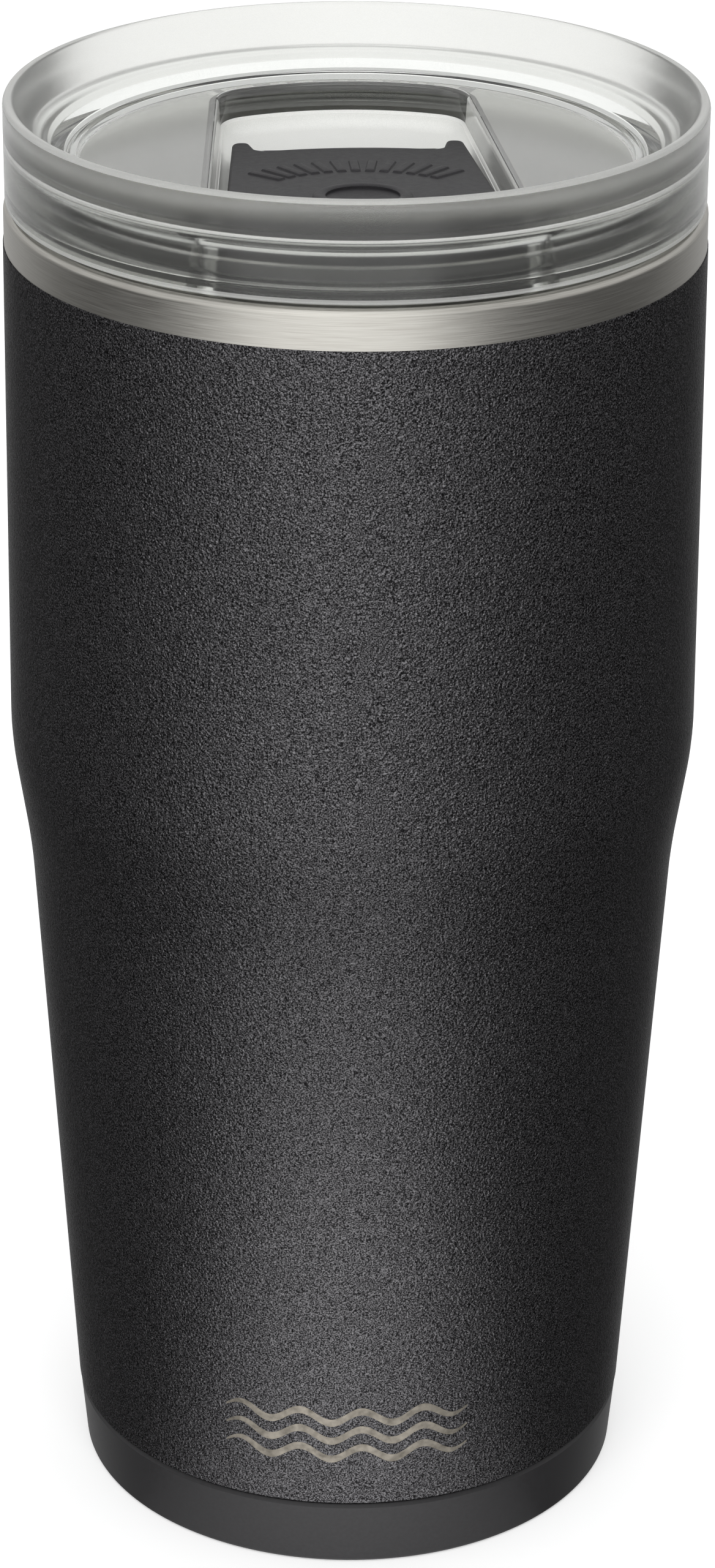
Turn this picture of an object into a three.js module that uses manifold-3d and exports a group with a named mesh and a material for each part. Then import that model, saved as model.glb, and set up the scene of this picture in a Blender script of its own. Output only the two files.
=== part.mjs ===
// Double-wall vacuum tumbler with a clear press-in lid and a sliding closure.
// Millimetres, +Z up. The origin is the centre of the base on the surface it stands on.
// The cup and lid are turned about Z. The lid's channel runs along Y, with the drinking side at -Y.

import * as THREE from "three";
import { mergeVertices } from "three/addons/utils/BufferGeometryUtils.js";
import Module from "manifold-3d";

const wasm = await Module();
wasm.setup();

// ---------------------------------------------------------------- driving dimensions

const SEGMENTS = 40; // facets round a turned piece
const SMALL_SEGMENTS = 20; // facets round the bead and the getter
const GAP = 0.3; // space left between pieces that touch

// Cup walls
const STEEL = 0.5; // sheet thickness
const VACUUM_GAP = 3.35; // space between the two walls
const RIM_HEIGHT = 179.6;
const MOUTH_RADIUS = 44.35; // outside, just under the rim
const SHOULDER = { radius: 44.9, height: 107.2 };
const WAIST = { radius: 42.6, height: 91.9 };
const FOOT = { radius: 37.7, height: 9.8 }; // where the shell steps in for the boot
const FOOT_CHAMFER = 0.4;
const BLEND = 4; // half the length of the curves at the waist and shoulder
const RIM_ROUND = 1.2;
const SLEEVE_RADIUS = 35.2; // shell inside the boot
const LINER_FLOOR = 14.5; // underside of the liner's floor
const LINER_CORNER = 8;
const LIP_ROUND = 1.6; // where the liner turns out to meet the shell
const LIP_SPLIT = 42.15; // radius of the weld between liner and shell

// Boot and base
const BOOT_FLOOR = 2.2;
const BOOT_TOP = FOOT.height - GAP;
const BOOT_RADIUS = { bottom: 36.8, top: 37.55 };
const BOOT_BEVEL = 0.4;
const BOOT_ROUND = 0.7;
const TREAD = { inner: 24, recess: 0.8 }; // flat ring the tumbler stands on
const PLATE_TOP = 6.8;
const DIMPLE = { radius: 8.3, rise: 1.8, flank: 1.2 };
const PORT_RADIUS = 1; // hole in the dimple where the air is drawn out
const BEAD = { radius: 2.6, depth: 1 };
const GETTER = { radius: 5, thickness: 2.2, chamfer: 0.3 };
const HOLDER = { radius: 6, depth: 3.8, wall: 0.6 };

// Lid
const LID_BOTTOM = RIM_HEIGHT + GAP;
const LID_TOP = 192.7;
const LID_RADIUS = 44;
const LID_WALL = 1.5;
const PANEL_TOP = 184.5;
const PANEL_UNDER = 183.1;
const PANEL_RADIUS = 34.9;
// Steps from the panel out to the funnel: radius, and height over the panel.
const SEAM_STEPS = [[35.2, 0.4], [36.6, 0.9], [38, 1.8], [38.9, 2.7]];
const FUNNEL_FOOT = { radius: 39.3, rise: 2 }; // underside, over the panel's underside
const FUNNEL_DROP = 2.6; // from the lip down to where the funnel leaves the wall
const SKIRT_BOTTOM = 166;
const SKIRT_OUTER = 39.4;
const SKIRT_INNER = 37.8;
const SKIRT_BEAD = 1; // how far the skirt's lower part stands in
const SKIRT_CHAMFER = 0.5;
const FLANGE_THICKNESS = 1.5;
const GROOVE = { low: 169, high: 174, radius: 38.4 };

// Channel in the lid, and the slider that runs in it
const FLARE = Math.tan(THREE.MathUtils.degToRad(3.7)); // both sides widen towards the drinking side
const CHANNEL = { halfWidth: 17.9, front: 36.3, back: 33.4, frontRound: 2, backRound: 5 };
const CHANNEL_WALL = 1.25;
const CHANNEL_FLOOR = 178.7;
const FLOOR_THICKNESS = 1.5;
const LEDGE = { height: 180.3, width: 0.8 };
const SLIDER = { halfWidth: 15.95, front: 35.8, under: 179.2, round: 1.5 };
const SLIDER_SKIN = 1.7; // over the hollow
const SLIDER_WALL = 1.5; // round the hollow
const HOLLOW_BACK = 9;
const SLIDER_TOP = { front: 184.7, tail: 181.5 };
const TAIL = { middle: 13.5, radius: 45, ear: 16.8, earWidth: 2, archInset: 3 };
const TRAVEL = 10;
const THUMB_RING = { y: -12.9, radius: 5.3, width: 1.4, rise: 0.35 };
const LEG = { front: -14.5, back: -5.5, inner: 1.5, outer: 2.7, bottom: 175.2 };
const HOOK = { reach: 1.2, lip: 0.7 };
const LEG_PLAY = 0.4; // between the legs and their slot
const OPENING = { halfWidth: 12, front: 33.6, back: 27, round: 2 };
const SEAL = { front: 34.1, back: -24.6, bottom: 178.95, top: 181.2, inset: 1.8 };
const RIB = { inset: 1, low: 0.4, high: 1.6, top: 182.5 }; // cross wall behind the seal

// ---------------------------------------------------------------- shared helpers

const point = (x, y) => new THREE.Vector2(x, y);

function arc(centreX, centreY, radius, fromDegrees, toDegrees, steps = 3) {
  const points = [];
  for (let step = 0; step <= steps; step += 1) {
    const angle = THREE.MathUtils.degToRad(fromDegrees + ((toDegrees - fromDegrees) * step) / steps);
    points.push(point(centreX + radius * Math.cos(angle), centreY + radius * Math.sin(angle)));
  }
  return points;
}

// Turns a profile of (radius, height) points, listed anticlockwise, about Z.
function turned(profile, segments = SEGMENTS) {
  const onAxis = profile[0].x === 0;
  const closed = onAxis ? profile : [...profile, profile[0].clone()];
  return new THREE.LatheGeometry(closed, segments).rotateX(Math.PI / 2);
}

// Raises a plan outline in XY from one height to another.
function raised(outline, low, high) {
  const geometry = new THREE.ExtrudeGeometry(new THREE.Shape(outline), {
    depth: high - low,
    bevelEnabled: false,
  });
  return geometry.translate(0, 0, low);
}

// Extends a side outline of (y, z) points along X, to the same distance on both sides.
function spanned(outline, halfWidth) {
  const geometry = new THREE.ExtrudeGeometry(new THREE.Shape(outline), {
    depth: 2 * halfWidth,
    bevelEnabled: false,
  });
  const axes = new THREE.Matrix4().makeBasis(
    new THREE.Vector3(0, 1, 0),
    new THREE.Vector3(0, 0, 1),
    new THREE.Vector3(1, 0, 0),
  );
  return geometry.applyMatrix4(axes).translate(-halfWidth, 0, 0);
}

function block(low, high) {
  const size = high.map((value, axis) => value - low[axis]);
  const middle = high.map((value, axis) => (value + low[axis]) / 2);
  return new THREE.BoxGeometry(...size).translate(...middle);
}

function solid(geometry) {
  const bare = geometry.clone();
  bare.deleteAttribute("normal");
  bare.deleteAttribute("uv");
  const merged = mergeVertices(bare, 1e-4);
  const mesh = new wasm.Mesh({
    numProp: 3,
    vertProperties: new Float32Array(merged.attributes.position.array),
    triVerts: new Uint32Array(merged.index.array),
  });
  return new wasm.Manifold(mesh);
}

function geometryOf(manifold) {
  const mesh = manifold.getMesh();
  const geometry = new THREE.BufferGeometry();
  geometry.setAttribute("position", new THREE.BufferAttribute(mesh.vertProperties, 3));
  geometry.setIndex(new THREE.BufferAttribute(mesh.triVerts, 1));
  geometry.computeVertexNormals();
  return geometry;
}

// Rounds the corners of an outline. Each corner is { x, y, round }.
function rounded(corners) {
  const outline = [];
  corners.forEach((corner, index) => {
    if (!corner.round) {
      outline.push(point(corner.x, corner.y));
      return;
    }
    const here = point(corner.x, corner.y);
    const before = corners[(index + corners.length - 1) % corners.length];
    const after = corners[(index + 1) % corners.length];
    const towards = (other) => {
      const step = point(other.x, other.y).sub(here);
      return here.clone().add(step.setLength(Math.min(corner.round, step.length())));
    };
    const curve = new THREE.QuadraticBezierCurve(towards(before), here, towards(after));
    outline.push(...curve.getPoints(4));
  });
  return outline;
}

// ---------------------------------------------------------------- cup walls

const FOOT_SLOPE = (WAIST.radius - FOOT.radius) / (WAIST.height - FOOT.height);
const SHOULDER_SLOPE = (SHOULDER.radius - WAIST.radius) / (SHOULDER.height - WAIST.height);
const MOUTH_SLOPE = (MOUTH_RADIUS - SHOULDER.radius) / (RIM_HEIGHT - SHOULDER.height);

// The cup's side from one height to another, moved in from the outer surface.
function side(inset, low, high) {
  const path = new THREE.Path();
  path.moveTo(FOOT.radius + FOOT_SLOPE * (low - FOOT.height) - inset, low);
  path.lineTo(WAIST.radius - FOOT_SLOPE * BLEND - inset, WAIST.height - BLEND);
  path.quadraticCurveTo(
    WAIST.radius - inset,
    WAIST.height,
    WAIST.radius + SHOULDER_SLOPE * BLEND - inset,
    WAIST.height + BLEND,
  );
  path.lineTo(SHOULDER.radius - SHOULDER_SLOPE * BLEND - inset, SHOULDER.height - BLEND);
  path.quadraticCurveTo(
    SHOULDER.radius - inset,
    SHOULDER.height,
    SHOULDER.radius + MOUTH_SLOPE * BLEND - inset,
    SHOULDER.height + BLEND,
  );
  path.lineTo(MOUTH_RADIUS - inset, high);
  return path.getPoints(3);
}

function outerShell() {
  const rimRadius = MOUTH_RADIUS - RIM_ROUND;
  const rimCentre = RIM_HEIGHT - RIM_ROUND;
  const sleeveInner = SLEEVE_RADIUS - STEEL;
  const bottom = BOOT_FLOOR + GAP;
  return turned([
    point(sleeveInner, bottom),
    point(SLEEVE_RADIUS, bottom),
    point(SLEEVE_RADIUS, FOOT.height),
    point(FOOT.radius - FOOT_CHAMFER, FOOT.height),
    ...side(0, FOOT.height + FOOT_CHAMFER, rimCentre),
    ...arc(rimRadius, rimCentre, RIM_ROUND, 0, 90).slice(1),
    point(LIP_SPLIT + GAP / 2, RIM_HEIGHT),
    point(LIP_SPLIT + GAP / 2, RIM_HEIGHT - STEEL),
    point(rimRadius, RIM_HEIGHT - STEEL),
    ...side(STEEL, FOOT.height + 2 * STEEL + FOOT_CHAMFER, rimCentre).reverse(),
    point(sleeveInner, FOOT.height + STEEL),
  ]);
}

function innerLiner() {
  const outerInset = STEEL + VACUUM_GAP;
  const innerInset = outerInset + STEEL;
  const cornerHeight = LINER_FLOOR + LINER_CORNER;
  const wallRadius = FOOT.radius + FOOT_SLOPE * (cornerHeight - FOOT.height) - outerInset;
  const cornerRadius = wallRadius - LINER_CORNER;
  const lipCentre = MOUTH_RADIUS - innerInset + LIP_ROUND;
  const lipHeight = RIM_HEIGHT - LIP_ROUND;
  const edge = LIP_SPLIT - GAP / 2;
  return turned([
    point(0, LINER_FLOOR),
    ...arc(cornerRadius, cornerHeight, LINER_CORNER, -90, 0).slice(0, -1),
    ...side(outerInset, cornerHeight, lipHeight),
    ...arc(lipCentre, lipHeight, LIP_ROUND - STEEL, 180, 90).slice(1),
    point(edge, RIM_HEIGHT - STEEL),
    point(edge, RIM_HEIGHT),
    ...arc(lipCentre, lipHeight, LIP_ROUND, 90, 180).slice(0, -1),
    ...side(innerInset, cornerHeight, lipHeight).reverse(),
    ...arc(cornerRadius, cornerHeight, LINER_CORNER - STEEL, 0, -90).slice(1),
    point(0, LINER_FLOOR + STEEL),
  ]);
}

// Pressed disc welded into the shell's foot, with a raised dimple round the port.
function basePlate() {
  const outer = SLEEVE_RADIUS - STEEL - GAP;
  const under = PLATE_TOP - STEEL;
  const { radius, rise, flank } = DIMPLE;
  return turned([
    point(PORT_RADIUS, under + rise),
    point(radius, under + rise),
    point(radius + flank, under),
    point(outer - STEEL, under),
    point(outer - STEEL, BOOT_FLOOR + GAP),
    point(outer, BOOT_FLOOR + GAP),
    ...arc(outer - STEEL, PLATE_TOP - STEEL, STEEL, 0, 90),
    point(radius + flank + STEEL, PLATE_TOP),
    point(radius + STEEL, PLATE_TOP + rise),
    point(PORT_RADIUS, PLATE_TOP + rise),
  ]);
}

// Glass bead that closes the port, in the dimple under the plate.
function vacuumSeal() {
  const top = PLATE_TOP - STEEL + DIMPLE.rise - GAP;
  const { radius, depth } = BEAD;
  return turned([
    point(0, top - depth),
    point(0.6 * radius, top - 0.9 * depth),
    point(0.95 * radius, top - 0.4 * depth),
    point(radius, top),
    point(0, top),
  ], SMALL_SEGMENTS);
}

// Steel cup under the liner that holds the getter against it.
function getterHolder() {
  const top = LINER_FLOOR - GAP;
  const { radius, depth, wall } = HOLDER;
  return turned([
    point(0, top - depth),
    point(radius - wall, top - depth),
    point(radius, top - depth + wall),
    point(radius, top),
    point(radius - wall, top),
    point(radius - wall, top - depth + wall),
    point(0, top - depth + wall),
  ], SMALL_SEGMENTS);
}

function getterPellet() {
  const { radius, thickness, chamfer } = GETTER;
  const top = LINER_FLOOR - 3 * GAP;
  const bottom = top - thickness;
  return turned([
    point(0, bottom),
    point(radius - chamfer, bottom),
    point(radius, bottom + chamfer),
    point(radius, top - chamfer),
    point(radius - chamfer, top),
    point(0, top),
  ], SMALL_SEGMENTS);
}

function baseBoot() {
  const inner = SLEEVE_RADIUS + GAP;
  return turned([
    point(0, TREAD.recess),
    point(TREAD.inner, TREAD.recess),
    point(TREAD.inner + TREAD.recess, 0),
    ...arc(BOOT_RADIUS.bottom - BOOT_ROUND, BOOT_ROUND, BOOT_ROUND, -90, 0, 2),
    point(BOOT_RADIUS.top, BOOT_TOP - BOOT_BEVEL),
    point(BOOT_RADIUS.top - BOOT_BEVEL, BOOT_TOP),
    point(inner, BOOT_TOP),
    point(inner, BOOT_FLOOR),
    point(0, BOOT_FLOOR),
  ]);
}

// ---------------------------------------------------------------- lid

// The y where a flared side, at the given half width, meets a circle about the cup's axis.
function meeting(halfWidth, radius, towards) {
  const grade = 1 + FLARE * FLARE;
  const root = Math.sqrt(grade * radius * radius - halfWidth * halfWidth);
  return (halfWidth * FLARE + towards * root) / grade;
}

// Corners along an arc about the cup's axis, from one x to another on the given side.
function rimArc(radius, fromX, toX, towards, steps = 8) {
  const corners = [];
  for (let step = 0; step <= steps; step += 1) {
    const x = fromX + ((toX - fromX) * step) / steps;
    corners.push({ x, y: towards * Math.sqrt(radius * radius - x * x) });
  }
  return corners;
}

// Plan of the channel: flared sides between a front and a back arc about the cup's axis.
function channelPlan({ halfWidth, front, back, frontRound, backRound }) {
  const frontX = halfWidth - FLARE * meeting(halfWidth, front, -1);
  const backX = halfWidth - FLARE * meeting(halfWidth, back, 1);
  const frontArc = rimArc(front, -frontX, frontX, -1);
  const backArc = rimArc(back, backX, -backX, 1);
  for (const corner of [frontArc[0], frontArc.at(-1)]) {
    corner.round = frontRound;
  }
  for (const corner of [backArc[0], backArc.at(-1)]) {
    corner.round = backRound;
  }
  return rounded([...frontArc, ...backArc]);
}

// One closed outline for the whole lid: outer wall, lip, funnel and panel.
function lidTurning() {
  const lip = LID_WALL / 2;
  return turned([
    point(0, PANEL_UNDER),
    point(PANEL_RADIUS + 1.9, PANEL_UNDER),
    point(FUNNEL_FOOT.radius, PANEL_UNDER + FUNNEL_FOOT.rise),
    point(LID_RADIUS - LID_WALL, LID_TOP - FUNNEL_DROP),
    point(LID_RADIUS - LID_WALL, LID_BOTTOM),
    point(LID_RADIUS, LID_BOTTOM),
    ...arc(LID_RADIUS - lip, LID_TOP - lip, lip, 0, 180, 4),
    ...SEAM_STEPS.map(([radius, rise]) => point(radius, PANEL_TOP + rise)).reverse(),
    point(PANEL_RADIUS, PANEL_TOP),
    point(0, PANEL_TOP),
  ]);
}

function lidBody() {
  const { halfWidth, front, back, frontRound, backRound } = CHANNEL;
  const tub = channelPlan({
    halfWidth: halfWidth + CHANNEL_WALL,
    front: front + CHANNEL_WALL,
    back: back + CHANNEL_WALL,
    frontRound: frontRound + 1,
    backRound: backRound + 1,
  });
  const upper = channelPlan(CHANNEL);
  const lower = channelPlan({
    ...CHANNEL,
    halfWidth: halfWidth - LEDGE.width,
    back: back - LEDGE.width,
  });
  const hole = rounded([
    ...rimArc(OPENING.front, -OPENING.halfWidth, OPENING.halfWidth, -1, 4),
    ...rimArc(OPENING.back, OPENING.halfWidth, -OPENING.halfWidth, -1, 4),
  ].map(({ x, y }) => ({ x, y, round: Math.abs(x) === OPENING.halfWidth ? OPENING.round : 0 })));
  const tubBottom = CHANNEL_FLOOR - FLOOR_THICKNESS;
  const slotHalf = LEG.outer + LEG_PLAY;
  const slot = block(
    [-slotHalf, LEG.front - LEG_PLAY, tubBottom - 1],
    [slotHalf, LEG.back + TRAVEL + LEG_PLAY, CHANNEL_FLOOR + 1],
  );
  return geometryOf(
    solid(lidTurning())
      .add(solid(raised(tub, tubBottom, PANEL_UNDER + 0.7)))
      .subtract(solid(raised(upper, LEDGE.height, LID_TOP)))
      .subtract(solid(raised(lower, CHANNEL_FLOOR, LEDGE.height + 1)))
      .subtract(solid(raised(hole, tubBottom - 1, CHANNEL_FLOOR + 1)))
      .subtract(solid(slot)),
  );
}

// Ring under the lid that plugs the mouth, with a flange on the rim and a groove for the gasket.
function lidSkirt() {
  const flange = LID_RADIUS - LID_WALL - GAP;
  const waist = SKIRT_INNER - SKIRT_BEAD;
  const waistTop = GROOVE.high + 1.6;
  const top = PANEL_UNDER - GAP;
  return turned([
    point(waist, SKIRT_BOTTOM),
    point(SKIRT_OUTER - SKIRT_CHAMFER, SKIRT_BOTTOM),
    point(SKIRT_OUTER, SKIRT_BOTTOM + SKIRT_CHAMFER),
    point(SKIRT_OUTER, GROOVE.low),
    point(GROOVE.radius, GROOVE.low),
    point(GROOVE.radius, GROOVE.high),
    point(SKIRT_OUTER, GROOVE.high),
    point(SKIRT_OUTER, LID_BOTTOM),
    point(flange, LID_BOTTOM),
    point(flange, LID_BOTTOM + FLANGE_THICKNESS),
    point(SKIRT_OUTER, LID_BOTTOM + FLANGE_THICKNESS),
    point(SKIRT_OUTER, top),
    point(SKIRT_INNER, top),
    point(SKIRT_INNER, waistTop + SKIRT_BEAD),
    point(waist, waistTop),
  ]);
}

// Silicone ring with two lips that press on the liner.
function lidGasket() {
  const low = GROOVE.low + GAP;
  const high = GROOVE.high - GAP;
  const inner = GROOVE.radius + GAP;
  const body = SKIRT_OUTER - 0.1;
  const reach = SKIRT_OUTER + 0.3;
  const lips = [low + 0.6, low + 2.6];
  return turned([
    point(inner, low),
    point(body, low),
    ...lips.flatMap((height) => [
      point(body, height),
      point(reach, height + 0.5),
      point(reach, height + 0.8),
      point(body, height + 1),
    ]),
    point(body, high),
    point(inner, high),
  ]);
}

// ---------------------------------------------------------------- slider

const TOP_SLOPE = (SLIDER_TOP.tail - SLIDER_TOP.front) / (TAIL.ear + SLIDER.front);

function sliderTopAt(y) {
  return SLIDER_TOP.front + TOP_SLOPE * (y + SLIDER.front);
}

// Everything under the slider's sloping top, moved down by the given amount.
function underTop(drop, bottom) {
  const front = -SLIDER.front - 5;
  const back = TAIL.ear + 5;
  const outline = [
    point(front, bottom),
    point(back, bottom),
    point(back, sliderTopAt(back) - drop),
    point(front, sliderTopAt(front) - drop),
  ];
  return solid(spanned(outline, SLIDER.halfWidth + 10));
}

// Flared plate with an arched tail between two ears.
function sliderPlan() {
  const { halfWidth, front } = SLIDER;
  const frontX = halfWidth - FLARE * meeting(halfWidth, front, -1);
  const frontArc = rimArc(front, -frontX, frontX, -1);
  frontArc[0].round = SLIDER.round;
  frontArc.at(-1).round = SLIDER.round;
  const earX = halfWidth - FLARE * TAIL.ear;
  const archX = earX - TAIL.archInset;
  const arch = [];
  for (let step = 0; step <= 6; step += 1) {
    const x = archX - (2 * archX * step) / 6;
    arch.push({ x, y: TAIL.middle - TAIL.radius + Math.sqrt(TAIL.radius ** 2 - x * x) });
  }
  arch[0].round = 1.6;
  arch.at(-1).round = 1.6;
  return rounded([
    ...frontArc,
    { x: earX, y: TAIL.ear, round: 1.2 },
    { x: earX - TAIL.earWidth, y: TAIL.ear, round: 0.7 },
    ...arch,
    { x: TAIL.earWidth - earX, y: TAIL.ear, round: 0.7 },
    { x: -earX, y: TAIL.ear, round: 1.2 },
  ]);
}

// The hollow under the slider, or a pad that fits in it: straight at the back.
function nosePlan(front, inset, back) {
  const halfWidth = SLIDER.halfWidth - inset;
  const frontX = halfWidth - FLARE * meeting(halfWidth, front, -1);
  const backX = halfWidth - FLARE * back;
  return [...rimArc(front, -frontX, frontX, -1), { x: backX, y: back }, { x: -backX, y: back }]
    .map(({ x, y }) => point(x, y));
}

// Snap leg under the slider, with a hook that runs beneath the channel floor.
function leg(sign) {
  const hookTop = CHANNEL_FLOOR - FLOOR_THICKNESS - GAP;
  const outline = [
    point(LEG.inner, LEG.bottom),
    point(LEG.outer, LEG.bottom),
    point(LEG.outer + HOOK.reach, hookTop - HOOK.lip),
    point(LEG.outer + HOOK.reach, hookTop),
    point(LEG.outer, hookTop),
    point(LEG.outer, sliderTopAt(LEG.back) - 1),
    point(LEG.inner, sliderTopAt(LEG.back) - 1),
  ].map(({ x, y }) => point(sign * x, y));
  const geometry = new THREE.ExtrudeGeometry(new THREE.Shape(outline), {
    depth: LEG.back - LEG.front,
    bevelEnabled: false,
  });
  return solid(geometry.rotateX(Math.PI / 2).translate(0, LEG.back, 0));
}

function thumbRing() {
  const { y, radius, width, rise } = THUMB_RING;
  const ring = turned([
    point(radius - width / 2, -0.5),
    point(radius + width / 2, -0.5),
    point(radius + width / 2, 0),
    point(radius + width / 4, rise),
    point(radius - width / 4, rise),
    point(radius - width / 2, 0),
  ]);
  return solid(ring.rotateX(Math.atan(TOP_SLOPE)).translate(0, y, sliderTopAt(y)));
}

function slider() {
  const hollowPlan = nosePlan(SLIDER.front - SLIDER_WALL, SLIDER_WALL, HOLLOW_BACK);
  const hollow = solid(raised(hollowPlan, SLIDER.under - 1, LID_TOP))
    .intersect(underTop(SLIDER_SKIN, SLIDER.under - 1));
  const ribX = SLIDER.halfWidth - RIB.inset;
  const rib = solid(block(
    [-ribX, SEAL.back + RIB.low, SLIDER.under],
    [ribX, SEAL.back + RIB.high, RIB.top],
  ));
  return geometryOf(
    solid(raised(sliderPlan(), SLIDER.under, LID_TOP))
      .intersect(underTop(0, SLIDER.under - 1))
      .subtract(hollow)
      .add(rib)
      .add(leg(1))
      .add(leg(-1))
      .add(thumbRing()),
  );
}

// Silicone pad in the slider's nose that covers the drink opening.
function sliderSeal() {
  return raised(nosePlan(SEAL.front, SEAL.inset, SEAL.back), SEAL.bottom, SEAL.top);
}

// ---------------------------------------------------------------- assembly

const FINISHES = {
  coat: { color: 0x29282a, roughness: 0.6, metalness: 0.1 },
  steel: { color: 0xb3b0aa, roughness: 0.35, metalness: 1 },
  boot: { color: 0x333236, roughness: 0.75, metalness: 0 },
  clear: { color: 0xdfe2e0, roughness: 0.1, metalness: 0, transparent: true, opacity: 0.4 },
  charcoal: { color: 0x38363b, roughness: 0.55, metalness: 0 },
  silicone: { color: 0x4a4a4c, roughness: 0.8, metalness: 0 },
  bead: { color: 0x4c5a52, roughness: 0.2, metalness: 0 },
  getter: { color: 0x7d7b78, roughness: 0.9, metalness: 0.4 },
};

const PIECES = {
  outer_shell: [outerShell, "coat"],
  inner_liner: [innerLiner, "steel"],
  base_plate: [basePlate, "steel"],
  vacuum_seal: [vacuumSeal, "bead"],
  getter_holder: [getterHolder, "steel"],
  getter_pellet: [getterPellet, "getter"],
  base_boot: [baseBoot, "boot"],
  lid_body: [lidBody, "clear"],
  lid_skirt: [lidSkirt, "clear"],
  lid_gasket: [lidGasket, "silicone"],
  slider: [slider, "charcoal"],
  slider_seal: [sliderSeal, "silicone"],
};

const tumbler = new THREE.Group();
for (const [name, [shape, finish]] of Object.entries(PIECES)) {
  const mesh = new THREE.Mesh(shape(), new THREE.MeshStandardMaterial(FINISHES[finish]));
  mesh.name = name;
  tumbler.add(mesh);
}

export default tumbler;
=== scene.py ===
"""The looks of the insulated tumbler with lid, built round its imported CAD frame.

Shapes are written in millimetres, in the part's frame: +Z up, the base's centre at the origin,
the drinking side at -Y. new_mesh() turns them into metres.
"""

import math

import bmesh
import bpy
from mathutils import Matrix, Vector


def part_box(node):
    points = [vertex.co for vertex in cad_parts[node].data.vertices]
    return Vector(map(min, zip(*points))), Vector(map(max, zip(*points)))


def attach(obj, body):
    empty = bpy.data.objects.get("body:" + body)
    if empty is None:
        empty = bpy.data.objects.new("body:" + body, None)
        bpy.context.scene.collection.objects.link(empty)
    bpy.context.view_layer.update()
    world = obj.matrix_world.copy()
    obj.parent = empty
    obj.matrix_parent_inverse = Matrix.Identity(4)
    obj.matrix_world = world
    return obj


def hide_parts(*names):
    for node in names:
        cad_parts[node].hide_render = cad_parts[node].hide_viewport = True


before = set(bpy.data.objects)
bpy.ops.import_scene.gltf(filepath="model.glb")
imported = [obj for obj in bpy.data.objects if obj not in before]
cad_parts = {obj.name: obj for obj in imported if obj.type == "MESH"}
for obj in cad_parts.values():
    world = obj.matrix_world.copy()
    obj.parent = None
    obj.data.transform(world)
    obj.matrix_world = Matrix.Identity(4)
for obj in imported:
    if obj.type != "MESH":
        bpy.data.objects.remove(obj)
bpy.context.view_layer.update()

MM = 0.001


def span(node):
    """Lowest and highest corner of a CAD node, in millimetres."""
    low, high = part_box(node)
    return low / MM, high / MM


# ---------------------------------------------------------------- sizes, in millimetres

SEGMENTS = 192  # facets round the large turned pieces
GAP = 0.3  # space between pieces that touch
SLIVER = 0.01  # keeps two surfaces from lying in one place
CUT_PAST = 1  # how far a cutter reaches past what it cuts

RIM_HEIGHT = span("outer_shell")[1].z
BOOT_TOP = span("base_boot")[1].z
LID_TOP = span("lid_body")[1].z
LID_RADIUS = span("lid_body")[1].x
CHANNEL_UNDER = span("lid_body")[0].z
SKIRT_BOTTOM = span("lid_skirt")[0].z
SLIDER_FRONT = -span("slider")[0].y
EAR_TIP = span("slider")[1].y

# Cup walls, as the CAD turns them; a pair is a radius and a height
STEEL = 0.5  # sheet thickness
COAT = 0.12  # coat thickness
COAT_TOP = 174.4  # the bare steel band starts here
WALL = 4.35  # outside of the shell to inside of the liner
MOUTH_RADIUS = 44.35
SHOULDER = (44.9, 107.2)
WAIST = (42.6, 91.9)
FOOT = (37.7, BOOT_TOP + GAP)
TAPER = (WAIST[0] - FOOT[0]) / (WAIST[1] - FOOT[1])  # from the foot to the waist
BLEND = 4  # half the length of the curves at the waist and shoulder
RIM_ROUND = 1.2
SLEEVE_RADIUS = 35.2  # shell inside the boot
LINER_FLOOR = 14.5  # underside of the liner's floor
LINER_CORNER = 8
LIP_ROUND = 1.6  # where the liner turns out to meet the shell
LIP_SPLIT = 42.15  # radius of the weld between liner and shell
WELD_SLIT = 0.02  # from the weld's middle to each of them
MARK = {"height": 21, "azimuth": -4}  # middle of the etched mark, azimuth in degrees

# Lid
LID_BOTTOM = RIM_HEIGHT + GAP
LID_WALL = 1.5
PANEL_TOP = 184.5
PANEL_UNDER = 183.1
PANEL_RADIUS = 34.6
# Rings from the funnel's foot in to the panel: radius, height over the panel, rounding
SEAM_RINGS = [
    (39.2, 3, 1.2),
    (38.5, 2.75, 0.3),
    (38.15, 1.95, 0.3),
    (36.5, 1.15, 0.35),
    (36.25, 0.6, 0.1),
    (35.95, 0.6, 0.1),
    (35.75, 0.95, 0.25),
    (34.95, 0.75, 0.25),
]
FLOOR_THICKNESS = 1.5
CHANNEL_FLOOR = CHANNEL_UNDER + FLOOR_THICKNESS
CHANNEL_WALL = 1.25
CHANNEL = {"half_width": 17.9, "front": 36.3, "back": 33.4, "front_round": 2.4, "back_round": 5.2}
FLARE = math.tan(math.radians(3.7))  # both sides widen towards the drinking side
LEDGE_HEIGHT = 180.3

# Where the lid's finishes change
SIDE_DEPTH = 0.5  # the side's faces lie this near to LID_RADIUS
LIP_WIDTH = 1.2  # the lip's faces lie this near to LID_RADIUS; they get a painted highlight line
EDGE_HEIGHT = 0.6  # the bottom edge, over LID_BOTTOM, which gets a painted highlight line
FUNNEL_FROM = 37.5  # radius of the funnel's foot
CHANNEL_REACH = 36.5  # radius inside which a face belongs to the channel
CLEAR_BEFORE = -28  # the channel's wall stays clear in front of this y
PAINTED_SHADE_AFTER = 26  # and has painted shade behind this one: a dark tint in place of the shade at the channel's back
WALL_AND_SHADE_FROM = 181  # height over which the wall has its own finish, with the painted shade at its back; below it the wall takes the floor's painted white
FACING_UP = {"funnel": 0.1, "lip": 0.3}  # least z of a normal
NEAR = {"floor": 0.05, "panel": 0.02, "rim": 0.2}  # how near a face's centre lies to a surface

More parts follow.
